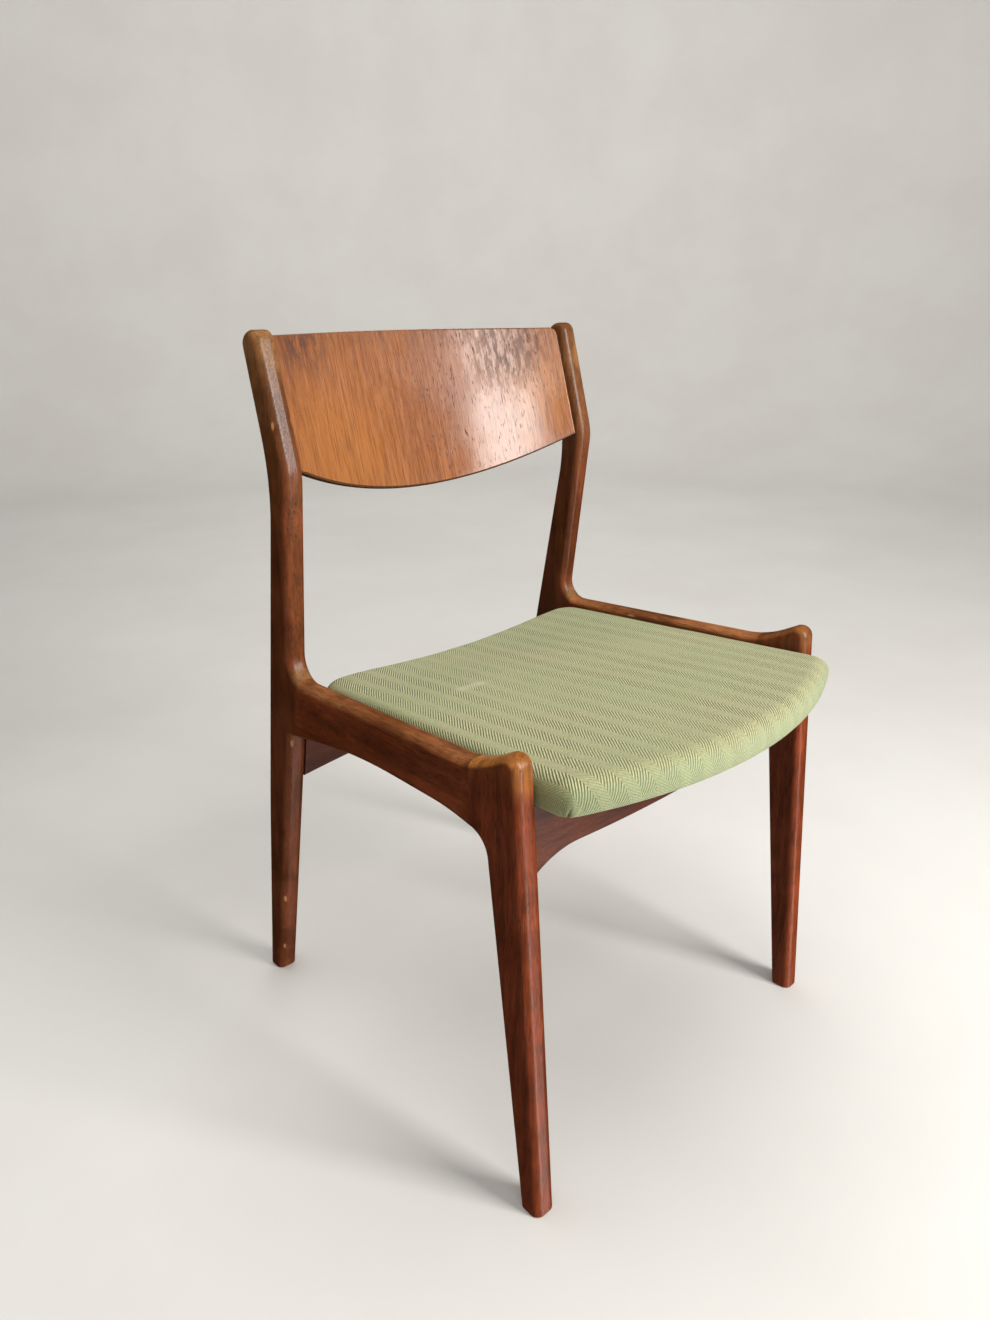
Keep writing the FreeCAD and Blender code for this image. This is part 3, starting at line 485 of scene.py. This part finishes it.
def herringbone():
    """Sage wool: striped columns of slanted ribs between plainer ones."""
    f = Finish("wool_herringbone")
    plan = f.step("ShaderNodeUVMap", {}, uv_map="weave").outputs[0]
    turned = f.stretched(plan, turn=(0, 0, math.radians(-1.5)))
    wander = f.wandering(f.wandering(turned, scale=9.0, amount=0.006), scale=160.0, amount=0.0006)
    u, v, _ = f.parts(wander)
    column = f.maths("DIVIDE", u, COLUMN)
    across = f.maths("FRACT", column)
    leaving = f.between(across, STRIPED_SHARE + COLUMN_BLUR, STRIPED_SHARE)
    striped = f.product(f.between(across, 0.0, COLUMN_BLUR), leaving)
    slant = f.product(u, RIB_SLOPE)
    turn = 2 * math.pi / RIB
    up_ribs = f.maths("COSINE", f.product(f.maths("SUBTRACT", v, slant), turn))
    down_ribs = f.maths("COSINE", f.product(f.maths("ADD", v, slant), turn))
    number = f.maths("FLOOR", column)
    luck = f.step("ShaderNodeTexWhiteNoise", {"W": number}, noise_dimensions="1D").outputs["Value"]
    drift = f.between(f.cloud(turned, scale=11.0), 0.32, 0.60, start=0.74, end=1.02)
    strength = f.product(f.maths("ADD", 0.78, f.product(luck, 0.3)), drift, striped)
    yarn = f.cloud(turned, scale=1100.0, roughness=0.7)
    fuzz = f.cloud(turned, scale=420.0, detail=3.0, roughness=0.7)

    gap = f.product(f.between(up_ribs, 0.15, -0.65), strength)
    plain_gap = f.product(f.between(down_ribs, 0.3, -0.9), f.maths("SUBTRACT", 1.0, striped), 0.34)
    gap = f.maths("ADD", gap, plain_gap)
    from_line = f.maths("ABSOLUTE", f.maths("SUBTRACT", across, STRIPED_SHARE + 0.12))
    gap = f.maths("MAXIMUM", gap, f.product(f.between(from_line, 0.035, 0.01), 0.22))
    crest = f.product(f.between(up_ribs, 0.0, 0.9), strength, 0.75)

    hue = f.between(f.cloud(turned, scale=6.5, detail=3.0, roughness=0.6), 0.36, 0.64)
    light = f.blended(hue, SAGE_COOL, SAGE_WARM)
    light = f.blended(f.between(yarn, 0.35, 0.7, start=0.0, end=0.60), light, YARN_PALE)
    light = f.blended(crest, light, CREST_PALE)
    paint = f.blended(gap, light, f.blended(hue, GAP_COOL, GAP_WARM))
    paint = f.blended(f.between(fuzz, 0.54, 0.38, start=0.0, end=0.42), paint, FUZZ_SHADE)
    paint = wool_wear_and_painted_light(f, plan, paint)
    height = f.maths("ADD", f.product(gap, -1.0), f.product(yarn, 0.35))
    height = f.maths("ADD", height, f.product(fuzz, 0.3))
    return f.done(paint, 0.92, height, depth=0.0008, Specular_IOR_Level=0.15, Sheen_Weight=0.22,
                  Sheen_Roughness=0.45, Sheen_Tint=(0.80, 0.92, 0.74, 1.0))


# ---------------------------------------------------------------- the seat

def ease(value, low, high):
    t = min(1.0, max(0.0, (value - low) / (high - low)))
    return t * t * (3 - 2 * t)


def bell(distance, width):
    return math.exp(-(distance / width) ** 2)


def placed(m, name, material):
    """The finished mesh as a piece at the origin, smooth and in its material."""
    for face in m.faces:
        face.smooth = True
    mesh = bpy.data.meshes.new(name)
    m.to_mesh(mesh)
    m.free()
    piece = bpy.data.objects.new(name, mesh)
    bpy.context.scene.collection.objects.link(piece)
    mesh.materials.append(material)
    return piece


def bow(x):
    """The front of the seat, a shallow arc."""
    depth = SEAT_CORNER - SEAT_FRONT
    radius = (SEAT_HALF_FRONT ** 2 + depth ** 2) / (2 * depth)
    return SEAT_FRONT + radius - math.sqrt(radius ** 2 - x ** 2)


def seat_outline():
    """The seat's outline, counter-clockwise seen from above, with rounded corners."""
    m = bmesh.new()
    steps = 48
    across = [SEAT_HALF_FRONT * (2 * k / steps - 1) for k in range(steps + 1)]
    front = [m.verts.new((x, bow(x), 0)) for x in across]
    rear = [m.verts.new((side * SEAT_HALF_REAR, SEAT_REAR, 0)) for side in (1, -1)]
    m.faces.new(front + rear)
    front_corners = [front[0], front[-1]]
    for corners, radius, turn in ((front_corners, FRONT_ROUND, FRONT_TURN), (rear, REAR_ROUND, REAR_TURN)):
        offset = radius * math.tan(math.radians(turn / 2))
        bmesh.ops.bevel(m, geom=corners, offset=offset, offset_type="OFFSET", segments=16, profile=0.5,
                        affect="VERTICES", material=-1)
    points = [v.co.copy() for v in m.faces[:][0].verts]
    m.free()
    return points


def evenly(points, fine, coarse):
    """Points along a closed outline, close together near the front corners."""
    corners = [Vector((side * (SEAT_HALF_FRONT - 0.008), SEAT_CORNER, 0)) for side in (-1, 1)]
    fine_reach = 0.035
    closed = points + [points[0]]
    found = []
    travelled, aim = 0.0, 0.0
    for a, b in zip(closed, closed[1:]):
        length = (b - a).length
        while aim < travelled + length - 1e-9:
            spot = a.lerp(b, (aim - travelled) / length)
            found.append(spot)
            near = min((spot - corner).length for corner in corners)
            aim += fine if near < fine_reach else coarse
        travelled += length
    return found


def inward_ways(outline):
    """At each point of the outline, the level direction into the seat, evened out round the corners."""
    count = len(outline)
    ways = []
    for k in range(count):
        along = outline[(k + 1) % count] - outline[k - 1]
        ways.append(Vector((-along.y, along.x, 0)).normalized())
    for _ in range(6):
        ways = [(ways[k - 1] + ways[k] * 2 + ways[(k + 1) % count]).normalized() for k in range(count)]
    return ways


def seat_profile():
    """How far in and how high each ring lies, from the hem round the edge to the top."""
    rings = [(HEM, 0.0), (0.020, 0.0), (0.010, 0.0), (0.0062, 0.0002), (0.0042, 0.0009), (0.0030, 0.0020),
             (0.0020, 0.0036), (0.0012, 0.0056), (0.0006, 0.0080), (0.0002, 0.0108), (0.0, 0.0140)]
    turns = 12
    start = SEAT_THICK - TOP_ROUND
    for k in range(turns + 1):
        angle = math.pi / 2 * k / turns
        rings.append((TOP_ROUND * (1 - math.cos(angle)), start + TOP_ROUND * math.sin(angle)))
    return rings


def sag(x, y):
    """How far the top gives: a hollow that deepens towards the middle of the back."""
    side = max(0.0, 1 - (x / DIP_HALF) ** 2) ** 1.3
    return -REAR_DIP * side * ease(y, 0.02, 0.33) - SIDE_DROP * ease(abs(x), 0.12, 0.21)


def pleats(spot, lift):
    """Folds gathered at each front corner: how far the cloth is drawn in, and how dark it is there."""
    drawn, shade = 0.0, 0.0
    if spot.y > 0.02:
        return drawn, shade
    for side in (-1, 1):
        away = PLEAT_ACROSS[0] * (side * spot.x - PLEAT_X) + PLEAT_ACROSS[1] * (spot.y - PLEAT_Y)
        tuck = bell(away - TUCK_LEAN * (lift - 0.004), TUCK_WIDTH)
        drawn += TUCK_DEPTH * tuck * (1 - ease(lift, 0.002, 0.016))
        for start, size in FANS:
            fan = away - start * (0.55 + lift * FAN_SPREAD)
            drawn += FAN_DEPTH * size * bell(fan, FAN_WIDTH) * (1 - ease(lift, 0.006, 0.027))
        shade += tuck * (1 - ease(lift, 0.001, 0.0085))
    return drawn, min(1.0, shade)


def edge_rings(outline):
    """From the hem round to the top: each ring's places, their spots on the flat cloth and their shade."""
    inward = inward_ways(outline)
    profile = seat_profile()
    cloth = [0.0]
    for (inset, lift), (next_inset, next_lift) in zip(profile, profile[1:]):
        cloth.append(cloth[-1] + math.hypot(next_inset - inset, next_lift - lift))
    rings = []
    for (inset, lift), length in zip(profile, cloth):
        ring = []
        for spot, way in zip(outline, inward):
            rear = ease(spot.y, 0.30, 0.34) * max(0.0, 1 - (spot.x / 0.17) ** 2)
            swell = FRONT_SWELL * ease(way.y, 0.3, 0.9) * math.sin(math.pi * min(1.0, lift / SEAT_THICK))
            tucked, shade = pleats(spot, lift)
            place = spot + way * (inset + REAR_HOLLOW * rear - swell + tucked)
            place.z = lift + sag(place.x, place.y) * ease(lift, 0.004, SEAT_THICK)
            wave = noise.noise(Vector((spot.x, spot.y, lift)) * 26.0) * WAVE * ease(lift, 0.0, 0.008)
            place -= way * wave
            cut = spot + way * TOP_ROUND - way * (cloth[-1] - length)
            ring.append((place, (cut.x, cut.y), shade))
        rings.append(ring)
    return rings


def top_rings(edge):
    """The top, in rings that shrink from its edge towards the middle."""
    centre = Vector((0.0, SEAT_MIDDLE, 0.0))
    steps = 26
    rings = []
    for s in range(1, steps):
        t = 1 - s / steps
        ring = []
        for place, cut, _ in edge:
            inner = centre + (place - centre) * t
            lumps = noise.noise(Vector((inner.x, inner.y, 0.0)) * 15.0) * LUMP * (1 - t ** 3)
            inner.z = SEAT_THICK + sag(inner.x, inner.y) + CROWN * (1 - t) ** 0.5 + lumps
            flat = centre + (Vector((cut[0], cut[1], 0)) - centre) * t
            ring.append((inner, (flat.x, flat.y), 0.0))
        rings.append(ring)
    middle = centre.copy()
    middle.z = SEAT_THICK + sag(centre.x, centre.y) + CROWN + noise.noise(centre * 15.0) * LUMP
    return rings, middle


def upholstery():
    """The cover over its foam: rings from the hem to the middle of the top."""
    edge = edge_rings(evenly(seat_outline(), fine=0.0008, coarse=0.0045))
    top, middle = top_rings(edge[-1])
    m = bmesh.new()
    weave = m.loops.layers.uv.new("weave")
    fold = m.verts.layers.float.new("fold")

    def sewn(corners):
        face = m.faces.new([vert for vert, _ in corners])
        for loop, (_, cut) in zip(face.loops, corners):
            loop[weave].uv = cut
        return face

    rows = []
    for ring in edge + top:
        row = []
        for place, cut, shade in ring:
            vert = m.verts.new(SEAT_PLACE @ place)
            vert[fold] = shade
            row.append((vert, cut))
        rows.append(row)
    for lower, upper in zip(rows, rows[1:]):
        for k in range(len(lower)):
            n = (k + 1) % len(lower)
            sewn([lower[k], lower[n], upper[n], upper[k]])
    pole = (m.verts.new(SEAT_PLACE @ middle), (middle.x, middle.y))
    last = rows[-1]
    for k in range(len(last)):
        sewn([last[k], last[(k + 1) % len(last)], pole])
    # the board side of the hem closes the underside
    under = sewn(list(reversed(rows[0])))
    bmesh.ops.triangulate(m, faces=[under])
    return placed(m, "seat_upholstery", herringbone())


seat = upholstery()
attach(seat, "root")
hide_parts("seat_cover", "seat_foam")


# ---------------------------------------------------------------- dust cloth

LINING_DARK, LINING_LIGHT = (0.010, 0.010, 0.011), (0.042, 0.041, 0.040)
LINING_DUST = (0.11, 0.10, 0.085)


def lining():
    """Black cloth with a loose fibrous face."""
    f = Finish("dust_cloth_black")
    fibres = f.cloud(f.wandering(f.place, scale=300.0, amount=0.002), scale=800.0, detail=4.0, roughness=0.75)
    dust = f.cloud(f.place, scale=24.0, detail=4.0, roughness=0.6)
    paint = f.blended(f.between(fibres, 0.4, 0.65), LINING_DARK, LINING_LIGHT)
    paint = f.blended(f.between(dust, 0.5, 0.75, start=0.0, end=0.35), paint, LINING_DUST)
    return f.done(paint, 0.95, fibres, depth=0.0002, Specular_IOR_Level=0.15, Sheen_Weight=0.15)


def dust_cloth():
    """The cloth stapled flat over the underside, and its area."""
    outline = evenly(seat_outline(), fine=0.004, coarse=0.006)
    count = len(outline)
    centre = Vector((0.0, SEAT_MIDDLE, 0.0))
    steps = 22
    m = bmesh.new()
    rows = []
    for s in range(steps):
        t = 1 - s / steps
        row = []
        for spot in outline:
            out = spot - centre
            edge = centre + out * (1 - DUST_MARGIN / out.length)
            place = centre + (edge - centre) * t
            place.z = -DUST_GAP
            row.append(m.verts.new(SEAT_PLACE @ place))
        rows.append(row)
    for outer, inner in zip(rows, rows[1:]):
        for k in range(count):
            n = (k + 1) % count
            m.faces.new([outer[n], outer[k], inner[k], inner[n]])
    pole = m.verts.new(SEAT_PLACE @ Vector((centre.x, centre.y, -DUST_GAP)))
    last = rows[-1]
    for k in range(count):
        m.faces.new([last[(k + 1) % count], last[k], pole])
    area = sum(face.calc_area() for face in m.faces)
    piece = placed(m, "dust_cloth", lining())
    thick = piece.modifiers.new("thickness", "SOLIDIFY")
    thick.thickness = DUST_THICK
    thick.offset = 1.0
    return piece, area


cloth, cloth_area = dust_cloth()
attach(cloth, "root")
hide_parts("seat_dust_cover")


# ---------------------------------------------------------------- floor and light

FLOOR_REACH = 3.6            # level this far from the chair
FLOOR_CURVE = 1.6
WALL_TOP = 3.2
FLOOR_DARK, FLOOR_LIGHT = (0.80, 0.78, 0.75), (0.84, 0.83, 0.80)

CHAIR_MIDDLE = (0.0, 0.0, 0.45)
WINDOW = Vector((0.62, -2.25, 1.45))
REFLECTED_WINDOW = Vector((0.62, -2.25, -1.2))      # where the floor would mirror it
REFLECTED_SIZE = (0.85, 2.3)
GLARE = 4.0
DAYLIGHT = (1.0, 0.98, 0.95)
SKY = (1.0, 0.98, 0.95, 1.0)
SKY_STRENGTH = 0.18

CAMERA_PLACE = (-0.6957, -0.6440, 0.8061)
CAMERA_DIP = 0.3708          # looking down by this angle
CAMERA_TURN = -0.7657
LENS = 25.25
SENSOR = 36.0


def floor_finish():
    f = Finish("pale_floor")
    mottle = f.cloud(f.place, scale=1.8, detail=4.0, roughness=0.6)
    paint = f.blended(f.between(mottle, 0.3, 0.7), FLOOR_DARK, FLOOR_LIGHT)
    return f.done(paint, 0.75, mottle, depth=0.0002, Specular_IOR_Level=0.2)


def backdrop():
    """A pale floor that turns up into a pale wall all round."""
    m = bmesh.new()
    turns = 10
    run = [(0.0, 0.0), (1.5, 0.0), (FLOOR_REACH, 0.0)]
    for k in range(1, turns + 1):
        angle = math.pi / 2 * k / turns
        run.append((FLOOR_REACH + FLOOR_CURVE * math.sin(angle), FLOOR_CURVE * (1 - math.cos(angle))))
    run.append((FLOOR_REACH + FLOOR_CURVE, WALL_TOP))
    verts = [m.verts.new((r, 0, z)) for r, z in run]
    edges = [m.edges.new(pair) for pair in zip(verts, verts[1:])]
    bmesh.ops.spin(m, geom=verts + edges, cent=(0, 0, 0), axis=(0, 0, 1), angle=math.tau, steps=64,
                   use_merge=True, dvec=(0, 0, 0))
    bmesh.ops.remove_doubles(m, verts=m.verts, dist=1e-5)
    bmesh.ops.recalc_face_normals(m, faces=m.faces)
    return placed(m, "floor", floor_finish())


floor = backdrop()
floor.visible_glossy = False


def softbox(name, place, aim, width, height, power, colour, shines=True):
    light = bpy.data.lights.new(name, "AREA")
    light.shape = "RECTANGLE"
    light.size = width
    light.size_y = height
    light.energy = power
    light.color = colour
    lamp = bpy.data.objects.new(name, light)
    bpy.context.scene.collection.objects.link(lamp)
    lamp.location = place
    lamp.rotation_euler = (Vector(aim) - Vector(place)).to_track_quat("-Z", "Y").to_euler()
    lamp.visible_camera = False
    lamp.visible_glossy = shines


softbox("window", WINDOW, CHAIR_MIDDLE, width=0.9, height=1.9, power=72.0, colour=DAYLIGHT)
softbox("front_fill", (-1.3, -2.3, 1.0), CHAIR_MIDDLE, width=1.4, height=1.4, power=10.0,
        colour=(1.0, 0.98, 0.96), shines=False)
softbox("overhead", (0.0, 0.3, 2.6), (0.0, 0.0, 0.4), width=2.2, height=2.2, power=34.0,
        colour=(1.0, 0.99, 0.97), shines=False)
softbox("wall_wash", (1.5, 1.5, 2.9), (4.2, 4.2, 0.9), width=3.2, height=0.8, power=42.0,
        colour=(1.0, 0.99, 0.98), shines=False)


def glare():
    """A surface that only glows."""
    material = bpy.data.materials.new("glare_card")
    material.use_nodes = True
    shader = material.node_tree.nodes["Principled BSDF"]
    shader.inputs["Base Color"].default_value = (0.0, 0.0, 0.0, 1.0)
    shader.inputs["Emission Color"].default_value = (1.0, 0.97, 0.95, 1.0)
    shader.inputs["Emission Strength"].default_value = GLARE
    material.cycles.emission_sampling = "NONE"
    return material


def glare_card():
    """The window's reflection in the floor: a bright card under it, seen only in polished surfaces."""
    m = bmesh.new()
    bmesh.ops.create_grid(m, x_segments=1, y_segments=1, size=0.5)
    size = Matrix.Diagonal((*REFLECTED_SIZE, 1.0, 1.0))
    turn = (-REFLECTED_WINDOW).to_track_quat("Z", "Y").to_matrix().to_4x4()
    bmesh.ops.transform(m, matrix=Matrix.Translation(REFLECTED_WINDOW) @ turn @ size, verts=m.verts)
    piece = placed(m, "glare_card", glare())
    piece.visible_camera = False
    piece.visible_diffuse = False
    piece.visible_shadow = False
    piece.visible_transmission = False
    return piece


glare_card()

world = bpy.data.worlds.new("studio")
bpy.context.scene.world = world
world.use_nodes = True
world.node_tree.nodes["Background"].inputs["Color"].default_value = SKY
world.node_tree.nodes["Background"].inputs["Strength"].default_value = SKY_STRENGTH
world.cycles_visibility.glossy = False


# ---------------------------------------------------------------- camera

lens = bpy.data.cameras.new("camera")
lens.lens = LENS
lens.sensor_width = SENSOR
camera = bpy.data.objects.new("camera", lens)
bpy.context.scene.collection.objects.link(camera)
camera.location = CAMERA_PLACE
camera.rotation_euler = (math.pi / 2 - CAMERA_DIP, 0.0, CAMERA_TURN)
bpy.context.scene.camera = camera
bpy.context.scene.view_settings.view_transform = "Standard"
